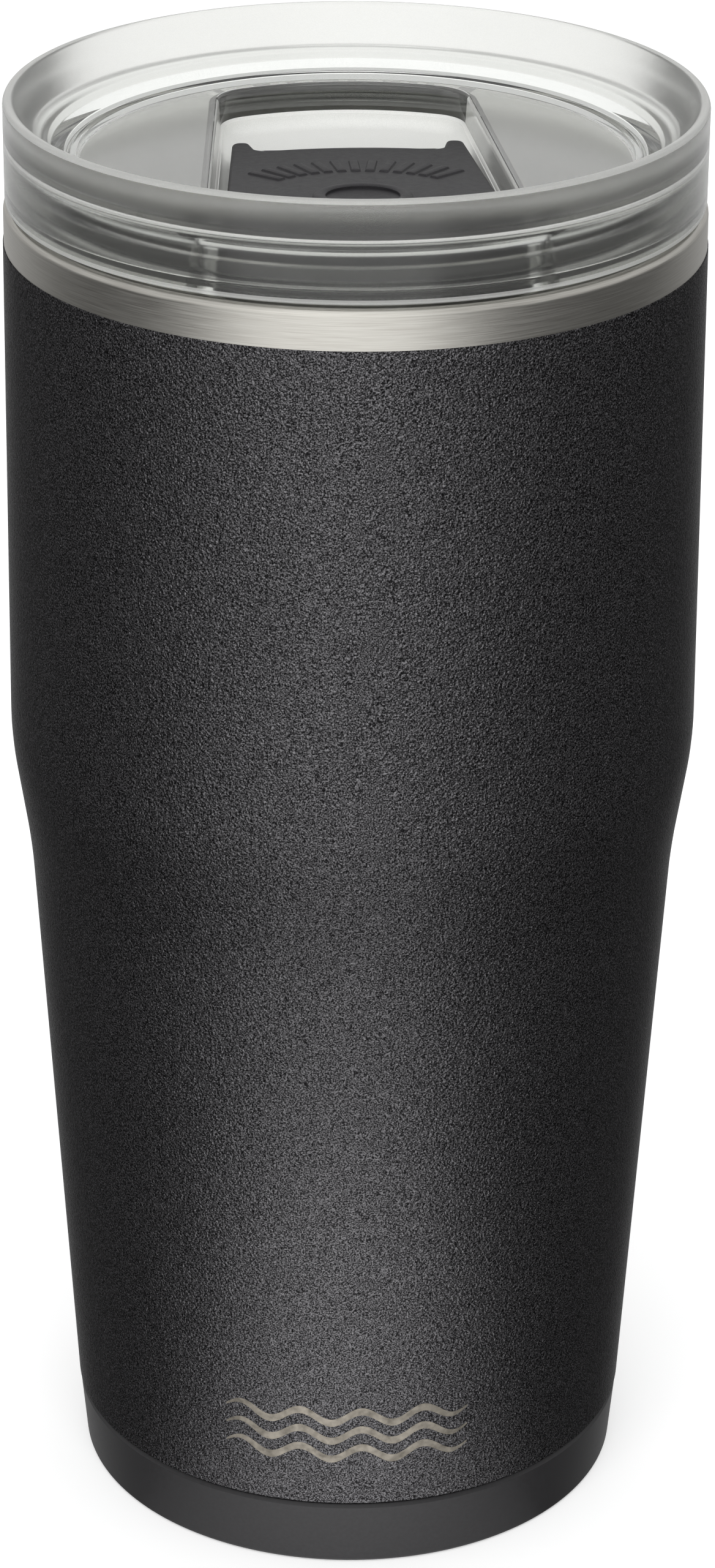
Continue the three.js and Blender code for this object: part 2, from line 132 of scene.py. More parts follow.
# Slider
SLIDER_HALF_WIDTH = 15.95
SLIDER_UNDER = 179.2
SLIDER_TOP = (184.7, 181.5)  # at its front edge and at its ears' tips
SLIDER_ROUND = 1.6  # its front corners in plan
HOLLOW_ROUND = 1.2  # and those of the space under it
TAIL_MIDDLE = 13.5
TAIL_RADIUS = 45
RING_CENTRE = -12.9
RING_RADIUS = 5.3
RIB_STEPS = 6  # grip ribs on each side of the middle one
RIB_ANGLE = 7.5  # degrees from one to the next

# Studio light: strengths, and angles in degrees with azimuth 0 on the -Y side. A pair is the two
# values of one part of a direction between which a light comes up, or goes out. The low panel is
# wider: the coat over the shoulder reflects it to the camera, and the coat below it the card.
FRONT_PANEL = {"azimuth": -10, "half_width": 34, "softness": 4, "strength": 1.6}
LOW_PANEL = {"azimuth": -10, "half_width": 48, "softness": 6, "strength": 1.5}
PANEL_FOOT_Z = (-0.58, -0.46)
LOW_PANEL_TOP_Z = (-0.37, -0.33)
BACKDROP = {"strength": 0.58, "y": (0.15, 0.95)}
OVERHEAD = {"strength": 0.6, "z": (0.55, 0.9)}
SIDES = {"strength": 0.55, "x_squared": (0.1, 0.6), "z": (-0.05, 0.25)}
FILL = {"below": 0.14, "above": 0.28, "z": (0, 0.3)}
FLOOR_GLOW = 0.35
CARD = {"centre": (-8, -76), "radius": 60, "bright_share": 0.4, "strength": 1.35}


# ---------------------------------------------------------------- mesh helpers


def new_mesh(name, points, faces):
    """A new object from points in millimetres."""
    mesh = bpy.data.meshes.new(name)
    mesh.from_pydata([Vector(p) * MM for p in points], [], faces)
    mesh.update()
    piece = bpy.data.objects.new(name, mesh)
    bpy.context.scene.collection.objects.link(piece)
    return piece


def turned(name, profile, segments=SEGMENTS):
    """Turns a closed profile of (radius, height) points, listed anticlockwise, about Z."""
    points, rings = [], []
    for radius, height in profile:
        count = 1 if radius == 0 else segments
        rings.append(list(range(len(points), len(points) + count)))
        for step in range(count):
            angle = 2 * math.pi * step / segments
            points.append((radius * math.cos(angle), radius * math.sin(angle), height))
    faces = []
    for low, high in zip(rings, rings[1:] + rings[:1]):
        if len(low) == 1 and len(high) == 1:
            continue
        for step in range(segments):
            after = (step + 1) % segments
            corners = [low[step % len(low)], low[after % len(low)],
                       high[after % len(high)], high[step % len(high)]]
            faces.append(list(dict.fromkeys(corners)))
    return new_mesh(name, points, faces)


def loft(name, loops):
    """A closed solid through loops of equal length, the first and last capped."""
    count = len(loops[0])
    points = [point for loop in loops for point in loop]
    faces = [list(range(count))[::-1]]
    for level in range(len(loops) - 1):
        for step in range(count):
            after = (step + 1) % count
            base = level * count
            faces.append([base + step, base + after, base + count + after, base + count + step])
    faces.append([(len(loops) - 1) * count + step for step in range(count)])
    piece = new_mesh(name, points, faces)
    cut = bmesh.new()
    cut.from_mesh(piece.data)
    cut.faces.ensure_lookup_table()
    bmesh.ops.triangulate(cut, faces=[cut.faces[0], cut.faces[-1]], ngon_method="EAR_CLIP")
    cut.to_mesh(piece.data)
    cut.free()
    return piece


def combine(piece, other, operation):
    """Joins, cuts or crosses piece with other, which is used up."""
    modifier = piece.modifiers.new("combine", "BOOLEAN")
    modifier.operation = operation
    modifier.solver = "MANIFOLD"
    modifier.object = other
    graph = bpy.context.evaluated_depsgraph_get()
    piece.data = bpy.data.meshes.new_from_object(piece.evaluated_get(graph))
    piece.modifiers.clear()
    bpy.data.objects.remove(other)
    return piece


def smooth(piece, degrees=32):
    """Smooth shading that keeps edges sharper than the given angle."""
    mesh = piece.data
    mesh.polygons.foreach_set("use_smooth", [True] * len(mesh.polygons))
    mesh.set_sharp_from_angle(angle=math.radians(degrees))
    modifier = piece.modifiers.new("normals", "WEIGHTED_NORMAL")
    modifier.keep_sharp = True
    return piece


def paint(piece, material):
    """Gives piece one material."""
    piece.data.materials.clear()
    piece.data.materials.append(material)
    return piece


def paint_faces(piece, materials, choose):
    """Gives each face the material that choose(centre, normal), in millimetres, names."""
    names = list(materials)
    piece.data.materials.clear()
    for material in materials.values():
        piece.data.materials.append(material)
    for face in piece.data.polygons:
        face.material_index = names.index(choose(face.center / MM, face.normal))
    return piece


def place(piece, body, node, slot):
    """Rides piece on a body in place of a CAD node, and hides that node; the slot is not used."""
    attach(piece, body)
    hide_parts(node)


def arc(centre_x, centre_y, radius, start, end, steps=6):
    """Points on an arc, with both ends, angles in degrees."""
    points = []
    for step in range(steps + 1):
        angle = math.radians(start + (end - start) * step / steps)
        points.append((centre_x + radius * math.cos(angle), centre_y + radius * math.sin(angle)))
    return points


def rectangle(half_width, front, back):
    """The corners of a rectangle in plan, anticlockwise."""
    return [(-half_width, front), (half_width, front), (half_width, back), (-half_width, back)]


def rounded(corners, steps=5):
    """An outline with true arcs at its corners. Each corner is (x, y) or (x, y, radius)."""
    outline = []
    for index, corner in enumerate(corners):
        if len(corner) == 2:
            outline.append(corner)
            continue
        here = Vector(corner[:2])
        before = (Vector(corners[index - 1][:2]) - here).normalized()
        after = (Vector(corners[(index + 1) % len(corners)][:2]) - here).normalized()
        half = before.angle(after) / 2
        reach = corner[2] / math.tan(half)
        centre = here + (before + after).normalized() * corner[2] / math.sin(half)
        start = here + before * reach - centre
        end = here + after * reach - centre
        sweep = start.angle_signed(end)
        for step in range(steps + 1):
            turn = Matrix.Rotation(-sweep * step / steps, 2)
            outline.append(tuple(centre + turn @ start))
    return outline


# ---------------------------------------------------------------- material helpers


def add_node(tree, kind, inputs, **settings):
    """A new node with its settings; each input is a value, or an output to link."""
    made = tree.nodes.new(kind)
    for name, value in settings.items():
        setattr(made, name, value)
    for name, value in inputs.items():
        if isinstance(value, bpy.types.NodeSocket):
            tree.links.new(value, made.inputs[name])
        else:
            made.inputs[name].default_value = value
    return made


class Finish:
    """A procedural material with one Principled shader, and short ways to add nodes to it."""

    def __init__(self, name, **values):
        self.material = bpy.data.materials.new(name)
        self.material.use_nodes = True
        self.tree = self.material.node_tree
        self.shader = self.tree.nodes["Principled BSDF"]
        for socket, value in values.items():
            self.shader.inputs[socket.replace("_", " ")].default_value = value
        self.place = self.node("ShaderNodeTexCoord").outputs["Object"]

    def node(self, kind, inputs=None, **settings):
        return add_node(self.tree, kind, inputs or {}, **settings)

    def link(self, output, socket):
        self.tree.links.new(output, self.shader.inputs[socket])

    def stretched(self, x, y, z):
        """The place, scaled along each axis."""
        inputs = {0: self.place, 1: (x, y, z)}
        return self.node("ShaderNodeVectorMath", inputs, operation="MULTIPLY").outputs[0]

    def noise(self, size, detail=2.0, place=None):
        """Noise whose features are about size millimetres across."""
        inputs = {"Vector": place or self.place, "Scale": 1 / (size * MM), "Detail": detail}
        return self.node("ShaderNodeTexNoise", inputs).outputs[0]

    def pebbles(self, size):
        """Soft round grains about size millimetres across."""
        inputs = {"Vector": self.place, "Scale": 1 / (size * MM), "Smoothness": 0.6}
        return self.node("ShaderNodeTexVoronoi", inputs, feature="SMOOTH_F1").outputs[0]

    def math(self, operation, first, second):
        return self.node("ShaderNodeMath", {0: first, 1: second}, operation=operation).outputs[0]

    def between(self, value, low, high, start=0.0, end=1.0):
        """Maps value from start..end to low..high."""
        inputs = {0: value, 1: start, 2: end, 3: low, 4: high}
        return self.node("ShaderNodeMapRange", inputs).outputs[0]

    def colours(self, value, dark, light, start=0.0, end=1.0):
        """A colour between dark and light as value goes from start to end."""
        ramp = self.node("ShaderNodeValToRGB", {"Fac": value})
        for stop, position, colour in zip(ramp.color_ramp.elements, (start, end), (dark, light)):
            stop.position = position
            stop.color = (*colour, 1)
        return ramp.outputs[0]

    def bump(self, height, depth):
        """Bumps the surface by about depth millimetres."""
        inputs = {"Height": height, "Distance": depth * MM, "Strength": 1}
        self.link(self.node("ShaderNodeBump", inputs).outputs[0], "Normal")


def powder_coat():
    """Pebbled charcoal coat with pale specks; the dark tint keeps its grazing edges dark."""
    finish = Finish("powder_coat", Metallic=0.85, Specular_Tint=(0.15, 0.15, 0.15, 1))
    pebbles = finish.pebbles(0.4)
    grain = finish.noise(0.25, detail=3)
    specks = finish.noise(0.18, detail=1)
    dark, light = (0.012, 0.0116, 0.0124), (0.185, 0.181, 0.189)
    finish.link(finish.colours(specks, dark, light, 0.4, 0.7), "Base Color")
    finish.link(finish.between(finish.noise(0.6), 0.26, 0.34), "Roughness")
    finish.bump(finish.math("ADD", pebbles, grain), depth=0.11)
    return finish.material


def brushed_steel(name, dark, light, roughness, brush=0.12, metallic=1.0):
    """Steel with fine lines round the axis."""
    finish = Finish(name, Metallic=metallic, Anisotropic=0.75)
    lines = finish.noise(brush, detail=4, place=finish.stretched(0.02, 0.02, 1))
    finish.link(finish.colours(lines, dark, light, 0.3, 0.7), "Base Color")
    finish.link(finish.between(lines, roughness - 0.06, roughness + 0.08), "Roughness")
    finish.bump(lines, depth=0.006)
    tangent = finish.node("ShaderNodeTangent", direction_type="RADIAL", axis="Z")
    finish.link(tangent.outputs[0], "Tangent")
    return finish.material


def pressed_metal(name, dark, light, roughness):
    finish = Finish(name, Metallic=1.0)
    mottle = finish.noise(1.2, detail=4)
    finish.link(finish.colours(mottle, dark, light, 0.3, 0.7), "Base Color")
    finish.link(finish.between(mottle, roughness - 0.08, roughness + 0.08), "Roughness")
    finish.bump(finish.noise(0.3), depth=0.01)
    return finish.material


def soft_rubber(name, dark, light, roughness=0.6):
    finish = Finish(name, IOR=1.45)
    mottle = finish.noise(0.5, detail=3)
    finish.link(finish.colours(mottle, dark, light, 0.25, 0.75), "Base Color")
    finish.link(finish.between(mottle, roughness - 0.06, roughness + 0.06), "Roughness")
    finish.bump(finish.noise(0.09), depth=0.008)
    return finish.material


def matte_plastic():
    finish = Finish("slider_plastic", Specular_IOR_Level=0.2)
    spark = finish.noise(0.16, detail=2)
    dark, light = (0.02, 0.019, 0.021), (0.034, 0.0325, 0.0355)
    finish.link(finish.colours(spark, dark, light, 0.3, 0.7), "Base Color")
    finish.link(finish.between(finish.noise(0.8), 0.42, 0.55), "Roughness")
    finish.bump(spark, depth=0.012)
    return finish.material


def clear_plastic():
    finish = Finish("clear_plastic", Transmission_Weight=1.0, IOR=1.25)
    flow = finish.noise(9, detail=1)
    finish.link(finish.colours(flow, (0.955, 0.965, 0.955), (0.985, 0.99, 0.985)), "Base Color")
    finish.link(finish.between(finish.noise(3), 0.01, 0.04), "Roughness")
    finish.bump(flow, depth=0.01)
    return finish.material


def frosted_plastic(name, milk, roughness, shade=0.9):
    """Clear plastic with a moulded frost; milk is its share of scattered white."""
    finish = Finish(name, Transmission_Weight=1.0 - milk, IOR=1.36)
    frost = finish.noise(0.12, detail=2)
    light = (shade, 1.005 * shade, 0.975 * shade)
    dark = [0.9 * part for part in light]
    finish.link(finish.colours(frost, dark, light, 0.3, 0.7), "Base Color")
    finish.link(finish.between(frost, roughness - 0.04, roughness + 0.06), "Roughness")
    finish.bump(frost, depth=0.004)
    return finish.material


def glass_bead():
    finish = Finish("glass_bead", IOR=1.5)
    swirl = finish.noise(1.4, detail=3)
    finish.link(finish.colours(swirl, (0.05, 0.07, 0.06), (0.1, 0.13, 0.11)), "Base Color")
    finish.link(finish.between(swirl, 0.12, 0.3), "Roughness")
    return finish.material


# ---------------------------------------------------------------- cup


def lower_radius(height):
    """The cup's outer radius at a height below the waist."""
    return FOOT[0] + TAPER * (height - FOOT[1])


def cup_side(inset, low, high, steps=10):
    """The cup's side as (radius, height) points going up, moved in from the outer surface."""
    corners = [(lower_radius(low), low), WAIST, SHOULDER, (MOUTH_RADIUS, high)]
    points = [corners[0]]
    for before, corner, after in zip(corners, corners[1:], corners[2:]):
        here = Vector(corner)
        start = here + (Vector(before) - here).normalized() * BLEND
        end = here + (Vector(after) - here).normalized() * BLEND
        for step in range(steps + 1):
            share = step / steps
            near = start.lerp(here, share)
            points.append(tuple(near.lerp(here.lerp(end, share), share)))
    points.append(corners[-1])
    return [(radius - inset, height) for radius, height in points]


def outer_shell():
    """The steel wall: bare at the rim, and a sleeve inside the boot."""
    skin = COAT + SLIVER
    foot_radius, foot_height = FOOT
    foot_edge, inner_bend = 0.5, 1.4
    sleeve = SLEEVE_RADIUS - STEEL
    bottom = span("outer_shell")[0].z
    centre = (MOUTH_RADIUS - RIM_ROUND, RIM_HEIGHT - RIM_ROUND)
    weld = LIP_SPLIT + WELD_SLIT
    profile = [
        (sleeve, bottom),
        (SLEEVE_RADIUS, bottom),
        (SLEEVE_RADIUS, foot_height + COAT),
        (foot_radius - foot_edge, foot_height + COAT),
        *cup_side(skin, foot_height + foot_edge, centre[1]),
        *arc(*centre, RIM_ROUND - skin, 0, 90, 10)[1:],
        (weld, RIM_HEIGHT - skin),
        (weld, RIM_HEIGHT - STEEL - skin),
        (centre[0], RIM_HEIGHT - STEEL - skin),
        *cup_side(STEEL + skin, foot_height + inner_bend, centre[1])[::-1],
        (sleeve, foot_height + STEEL + COAT),
    ]
    return smooth(turned("shell_steel", profile))


def shell_coat():
    """The coloured coat on the shell, from the seam over the boot to the bare band."""
    edge, bevel = 0.1, 0.03  # at the bare band
    foot_round, foot_inset, foot_edge, foot_lap = 0.35, 0.33, 0.5, 0.4
    start = SLEEVE_RADIUS + 0.1
    foot_radius, foot_height = FOOT
    foot_top = foot_height + COAT - SLIVER
    side = cup_side(0, foot_height + foot_round, COAT_TOP)
    inner = cup_side(COAT, foot_height + foot_edge, COAT_TOP)
    top_radius = side[-1][0]
    profile = [
        (start, foot_top),
        (start, foot_height),
        *arc(foot_radius - foot_inset, foot_height + foot_round, foot_round, -90, 0, 5)[:-1],
        *side[:-1],
        (top_radius, COAT_TOP - edge),
        (top_radius - bevel, COAT_TOP - bevel),
        (top_radius - edge, COAT_TOP),
        *inner[::-1],
        (inner[0][0] - foot_lap, foot_top),
    ]
    return smooth(turned("shell_coat", profile))


def etched_waves():
    """Three wavy lines that look like bare steel, let into the coat low on the front."""
    rows, pitch, steps = 3, 2.9, 96
    length, thickness, swing, wave = 33, 1.15, 0.95, 8.25
    proud, depth = 0.012, 0.05
    end_share, end_slope = 0.25, 6  # a line thins to this share of its thickness at its ends
    corners = ((-1, proud), (1, proud), (1, -depth), (-1, -depth))
    points, faces = [], []
    for row in range(rows):
        first = len(points)
        base_line = MARK["height"] + pitch * (row - (rows - 1) / 2)
        for step in range(steps + 1):
            along = length * (step / steps - 0.5)
            middle = base_line + swing * math.sin(2 * math.pi * along / wave)
            taper = min(1, end_share + end_slope * min(step, steps - step) / steps)
            for height, skin in corners:
                z = middle + height * taper * thickness / 2
                radius = lower_radius(z) + skin
                angle = along / radius + math.radians(MARK["azimuth"])
                points.append((radius * math.sin(angle), -radius * math.cos(angle), z))
        for step in range(steps):
            base = first + 4 * step
            for side in range(4):
                after = (side + 1) % 4
                faces.append([base + after, base + side, base + side + 4, base + after + 4])
        last = first + 4 * steps
        faces += [[first, first + 1, first + 2, first + 3], [last + 3, last + 2, last + 1, last]]
    return smooth(new_mesh("etched_waves", points, faces))


def inner_liner():
    """The steel cup inside, turned out at its lip to meet the shell."""
    outer_inset = WALL - STEEL
    corner_height = LINER_FLOOR + LINER_CORNER
    wall_radius = lower_radius(corner_height) - outer_inset
    corner = (wall_radius - LINER_CORNER, corner_height)
    lip = (MOUTH_RADIUS - WALL + LIP_ROUND, RIM_HEIGHT - LIP_ROUND)
    weld = LIP_SPLIT - WELD_SLIT
    profile = [
        (0, LINER_FLOOR),
        *arc(*corner, LINER_CORNER, -90, 0, 12)[:-1],
        *cup_side(outer_inset, corner_height, lip[1]),
        *arc(*lip, LIP_ROUND - STEEL, 180, 90, 8)[1:],
        (weld, RIM_HEIGHT - STEEL),
        (weld, RIM_HEIGHT),
        *arc(*lip, LIP_ROUND, 90, 180, 8)[:-1],
        *cup_side(WALL, corner_height, lip[1])[::-1],
        *arc(*corner, LINER_CORNER - STEEL, 0, -90, 12)[1:],
        (0, LINER_FLOOR + STEEL),
    ]
    return smooth(turned("liner", profile))


def base_plate():
    """The pressed disc in the shell's foot, with a dimple round the air port."""
    low, high = span("base_plate")
    outer = high.x
    port, dimple, rise = 1, 8.3, 1.8
    under_flank, top_bend, top_flank = 1.2, 0.4, 1.5  # past the dimple's radius
    disc = high.z - rise
    profile = [
        (port, high.z - STEEL),
        (dimple, high.z - STEEL),
        (dimple + under_flank, disc - STEEL),
        (outer - STEEL, disc - STEEL),
        (outer - STEEL, low.z),
        (outer, low.z),
        *arc(outer - STEEL, disc - STEEL, STEEL, 0, 90),
        (dimple + top_flank, disc),
        (dimple + top_bend, high.z),
        (port, high.z),
    ]
    return smooth(turned("bottom_plate", profile, 96))


def vacuum_seal():
    """The glass bead that closes the air port: a round drop under a flat top."""
    low, high = span("vacuum_seal")
    radius, edge = high.x, 0.3
    drop = arc(0, high.z - edge, radius, -80, -8, 8)
    profile = [(0, low.z), *drop, (radius, high.z), (0, high.z)]
    squashed = [(r, max(low.z, min(z, high.z))) for r, z in profile]
    return smooth(turned("port_bead", squashed, 48))


def getter_holder():
    """The small steel cup that holds the getter under the liner."""
    low, high = span("getter_holder")
    radius = high.x
    wall, corner = 0.6, 0.8
    profile = [
        (0, low.z),
        *arc(radius - corner, low.z + corner, corner, -90, 0),
        (radius, high.z),
        (radius - wall, high.z),
        (radius - wall, low.z + wall),
        (0, low.z + wall),
    ]
    return smooth(turned("getter_cup", profile, 64))


def getter_pellet():
    """The disc of pressed powder in the holder."""
    low, high = span("getter_pellet")
    edge = 0.3
    profile = [
        (0, low.z),
        *arc(high.x - edge, low.z + edge, edge, -90, 0, 3),
        *arc(high.x - edge, high.z - edge, edge, 0, 90, 3),
        (0, high.z),
    ]
    return smooth(turned("getter_disc", profile, 64))


def base_boot():
    """The soft boot: a flat tread round a raised middle with three rings, and a rounded side."""
    high = span("base_boot")[1]
    inner, floor_top = SLEEVE_RADIUS + 0.05, 2.2
    bottom_radius, bottom_round = 36.8, 0.7
    edge, bevel_in, bevel_down = 0.12, 0.45, 0.5  # at the top
    tread, step = 24, 0.4
    recess = 2 * step
    rings, pitch, ring_foot, ring_top, ring_rise = 3, 6, 0.5, 0.25, 0.3
    ribs = []
    for ring in range(1, rings + 1):
        radius = pitch * ring
        ribs += [(radius - ring_foot, recess), (radius - ring_top, recess - ring_rise)]
        ribs += [(radius + ring_top, recess - ring_rise), (radius + ring_foot, recess)]
    profile = [
        (0, recess),
        *ribs,
        *arc(tread, recess - step, step, 90, 0, 4),
        *arc(tread + recess, step, step, 180, 270, 4),
        *arc(bottom_radius - bottom_round, bottom_round, bottom_round, -90, -3, 8),
        *arc(high.x - edge, BOOT_TOP - bevel_down, edge, -2, 40, 3),
        *arc(high.x - bevel_in, BOOT_TOP - edge, edge, 50, 90, 3),
        (inner, BOOT_TOP),
        (inner, floor_top),
        (0, floor_top),
    ]
    return smooth(turned("boot", profile), 25)


# ---------------------------------------------------------------- lid


def channel_plan(inset, front_inset):
    """The channel's outline in plan, moved in: flared sides between arcs about the cup's axis."""
    half_width = CHANNEL["half_width"] - inset
    front = CHANNEL["front"] - front_inset
    back = CHANNEL["back"] - inset
    back_round = CHANNEL["back_round"] - inset
    return mirrored(half_outline(half_width, front, back, CHANNEL["front_round"], back_round))


def fillet_centre(half_width, radius, fillet, towards):
    """Centre of a fillet inside a flared side and an arc about the axis."""
    grade = 1 + FLARE * FLARE
    inner = half_width - fillet * math.sqrt(grade)
    reach = radius - fillet
    root = math.sqrt(grade * reach * reach - inner * inner)
    y = (inner * FLARE + towards * root) / grade
    return Vector((inner - FLARE * y, y))


def arc_between(centre, start, end, steps):
    """Arc points from start to end about a centre, with both ends."""
    sweep = (start - centre).angle_signed(end - centre)
    points = []
    for step in range(steps + 1):
        turn = Matrix.Rotation(-sweep * step / steps, 2)
        points.append(centre + turn @ (start - centre))
    return points


def front_half(half_width, front, fillet):
    """The right half of a front: from the middle of the arc to the start of the side."""
    side = Vector((1, FLARE)).normalized()
    centre = fillet_centre(half_width, front, fillet, -1)
    tangent = centre.normalized() * front
    points = arc_between(Vector((0, 0)), Vector((0, -front)), tangent, 24)
    return points[:-1] + arc_between(centre, tangent, centre + side * fillet, 8)


def half_outline(half_width, front, back, front_fillet, back_fillet):
    """The right half of a flared outline, from its front middle to its back middle."""
    side = Vector((1, FLARE)).normalized()
    centre = fillet_centre(half_width, back, back_fillet, 1)
    tangent = centre.normalized() * back
    corner = arc_between(centre, centre + side * back_fillet, tangent, 12)
    rest = arc_between(Vector((0, 0)), tangent, Vector((0, back)), 16)
    return front_half(half_width, front, front_fillet) + corner + rest[1:]


def mirrored(half):
    """The whole outline, anticlockwise, from its right half, whose ends lie on the Y axis."""
    return half + [Vector((-point.x, point.y)) for point in half[-2:0:-1]]


def at_height(outline, height):
    """An outline in plan, as points at one height."""
    return [(x, y, height) for x, y in outline]


def lid_turning():
    """The lid as one turned solid: outer wall, lip, funnel, seam rings and panel."""
    lip = LID_WALL / 2
    inner = LID_RADIUS - LID_WALL
    foot_round, foot_bevel = 0.3, 0.2
    underside = rounded([
        (1, PANEL_UNDER),
        (36.8, PANEL_UNDER, 1.5),
        (39.3, PANEL_UNDER + 2, 2),
        (inner, LID_TOP - 2.4, 1.2),
        (inner, LID_BOTTOM + foot_bevel),
    ])
    topside = rounded([
        (inner - 0.25, LID_TOP - 1.4),
        *[(radius, PANEL_TOP + rise, corner) for radius, rise, corner in SEAM_RINGS],
        (PANEL_RADIUS, PANEL_TOP, 0.2),
        (PANEL_RADIUS - 1, PANEL_TOP),
    ], 4)
    profile = [
        (0, PANEL_UNDER),
        *underside[1:],
        (inner + foot_bevel, LID_BOTTOM),
        *arc(LID_RADIUS - foot_round, LID_BOTTOM + foot_round, foot_round, -90, 0, 4),
        (LID_RADIUS, LID_BOTTOM + 0.7),
        *arc(LID_RADIUS - lip, LID_TOP - lip, lip, 0, 150, 16),
        *topside[1:],
        (0, PANEL_TOP),
    ]
    return turned("lid", profile)


def channel_cutter():
    """The hollow of the channel: floor, fillet, drafted wall, ledge and rounded edge."""
    edge, fillet, draft = 0.5, 1.6, 0.65
    front_most = 0.2  # the front wall moves in no further
    ledge = [(0.06, 0.62), (0.1, 0.5), (0.3, 0.42), (0.42, 0.3), (0.5, 0.2)]  # rise, inset
    levels = [(CHANNEL_FLOOR, draft + fillet)]
    for inset, height in arc(draft + fillet, CHANNEL_FLOOR + fillet, fillet, 265, 185, 9):
        levels.append((height, inset))
    for rise, inset in ledge:
        levels.append((LEDGE_HEIGHT + rise, inset))
    for inset, height in arc(-edge, PANEL_TOP - edge, edge, 0, 80, 6):
        levels.append((height, inset))
    levels.append((LID_TOP + CUT_PAST, levels[-1][1]))
    loops = []
    for height, inset in levels:
        loops.append(at_height(channel_plan(inset, min(inset, front_most)), height))
    return loft("channel_cutter", loops)


def channel_tub():
    """The outside of the channel's walls and floor, with a round lower edge."""
    edge, overlap = 1.2, 0.7
    loops = []
    for inset, height in arc(edge - CHANNEL_WALL, CHANNEL_UNDER + edge, edge, 270, 180, 6):
        loops.append(at_height(channel_plan(inset, max(inset, -CHANNEL_WALL)), height))
    loops.append(at_height(channel_plan(-CHANNEL_WALL, -CHANNEL_WALL), PANEL_UNDER + overlap))
    return loft("channel_tub", loops)


def floor_cutter(name, outline):
    """A cutter with this plan outline, through the channel's floor."""
    ends = (CHANNEL_UNDER - CUT_PAST, CHANNEL_FLOOR + CUT_PAST)
    return loft(name, [at_height(outline, height) for height in ends])


def drink_hole():
    """Curved slot through the channel floor, behind the front arc."""
    front, back, half_width, corner = 33.6, 27, 12, 2.6
    steps = 12
    front_arc, back_arc = [], []
    for radius, sign, points in ((front, 1, front_arc), (back, -1, back_arc)):
        reach = math.asin((half_width - corner) / radius)
        for step in range(steps + 1):
            angle = sign * reach * (2 * step / steps - 1)
            points.append(Vector((radius * math.sin(angle), -radius * math.cos(angle))))
    right = half_round(front_arc[-1], back_arc[0])
    left = half_round(back_arc[-1], front_arc[0])
    return floor_cutter("drink_hole", front_arc + right + back_arc + left)


def half_round(start, end, steps=10):
    """The points between the ends of a half circle."""
    centre = (start + end) / 2
    points = []
    for step in range(1, steps):
        turn = Matrix.Rotation(math.pi * step / steps, 2)
        points.append(centre + turn @ (start - centre))
    return points


def leg_slot():
    """Slot in the channel floor for the slider's snap legs."""
    half_width, front, back, corner = 3.1, -14.9, 4.9, 1
    outline = rounded([(x, y, corner) for x, y in rectangle(half_width, front, back)])
    return floor_cutter("leg_slot", outline)


def lid_finish(centre, normal):
    """Names the finish of a face: frosted on the side and funnel, a milky edge that paints in
    highlight lines, a white floor that paints in light, painted shade at the channel's back, and
    clear if nothing else.
    """
    radius = math.hypot(centre.x, centre.y)
    side = radius > LID_RADIUS - SIDE_DEPTH
    funnel = radius > FUNNEL_FROM and normal.z > FACING_UP["funnel"]
    if side or funnel:
        lip = radius > LID_RADIUS - LIP_WIDTH and normal.z > FACING_UP["lip"]
        # the lip and the bottom edge get a milky finish: painted highlight lines
        if lip or centre.z < LID_BOTTOM + EDGE_HEIGHT:
            return "edge"
        return "side" if side else "funnel"
    # the floor gets an opaque white: painted light in place of what the clear floor reflects and
    # lets through
    if abs(centre.z - CHANNEL_FLOOR) < NEAR["floor"]:
        return "floor"
    level = centre.z > PANEL_TOP - NEAR["panel"] or abs(centre.z - PANEL_UNDER) < NEAR["panel"]
    if level and radius < PANEL_RADIUS - NEAR["rim"]:
        return "panel"
    inward = normal.xy.dot(centre.xy) < 0
    inside = inward and CHANNEL_FLOOR < centre.z < PANEL_TOP - NEAR["floor"]
    if not inside or radius > CHANNEL_REACH or centre.y < CLEAR_BEFORE:
        return "clear"
    # low on the wall the face takes the floor's painted white; higher up, the wall's back gets
    # painted shade
    if centre.z < WALL_AND_SHADE_FROM:
        return "floor"
    return "painted_shade" if centre.y > PAINTED_SHADE_AFTER else "wall"


def lid_body(finishes):
    """The clear moulding: the turned lid with the slider's channel, painted face by face."""
    lid = lid_turning()
    combine(lid, channel_tub(), "UNION")
    combine(lid, channel_cutter(), "DIFFERENCE")
    combine(lid, drink_hole(), "DIFFERENCE")
    combine(lid, leg_slot(), "DIFFERENCE")
    return paint_faces(smooth(lid), finishes, lid_finish)


def lid_skirt():
    """The ring that plugs the mouth, with a flange on the rim and a groove for the gasket."""
    outer, inner, groove = 39.4, 37.8, 38.4
    groove_low, groove_high = 169, 174
    waist = inner - 1
    waist_top = groove_high + 1.6
    flange = LID_RADIUS - LID_WALL - 0.1
    flange_top = LID_BOTTOM + 1.5
    top = PANEL_UNDER - 0.05
    corners = [
        (waist, SKIRT_BOTTOM, 0.4),
        (outer, SKIRT_BOTTOM, 0.7),
        (outer, groove_low, 0.2),
        (groove, groove_low, 0.15),
        (groove, groove_high, 0.15),
        (outer, groove_high, 0.2),
        (outer, LID_BOTTOM, 0.2),
        (flange, LID_BOTTOM, 0.2),
        (flange, flange_top, 0.3),
        (outer, flange_top, 0.3),
        (outer, top, 0.2),
        (inner, top, 0.2),
        (inner, waist_top + 1, 0.4),
        (waist, waist_top, 0.4),
    ]
    return smooth(turned("skirt", rounded(corners)))


def lid_gasket():
    """Ring with two lips that curve up towards their tips."""
    low, high = span("lid_gasket")
    inner, reach = 38.45, high.x
    body = reach - 0.4
    corners = [(inner, low.z, 0.2), (body, low.z, 0.2)]
    for lip in (low.z + 0.6, low.z + 2.6):
        corners += [(body, lip, 0.1), (reach, lip + 0.45, 0.12)]
        corners += [(reach, lip + 0.85, 0.12), (body, lip + 1, 0.1)]
    corners += [(body, high.z, 0.2), (inner, high.z, 0.2)]
    return smooth(turned("gasket", rounded(corners, 3)))


# ---------------------------------------------------------------- slider


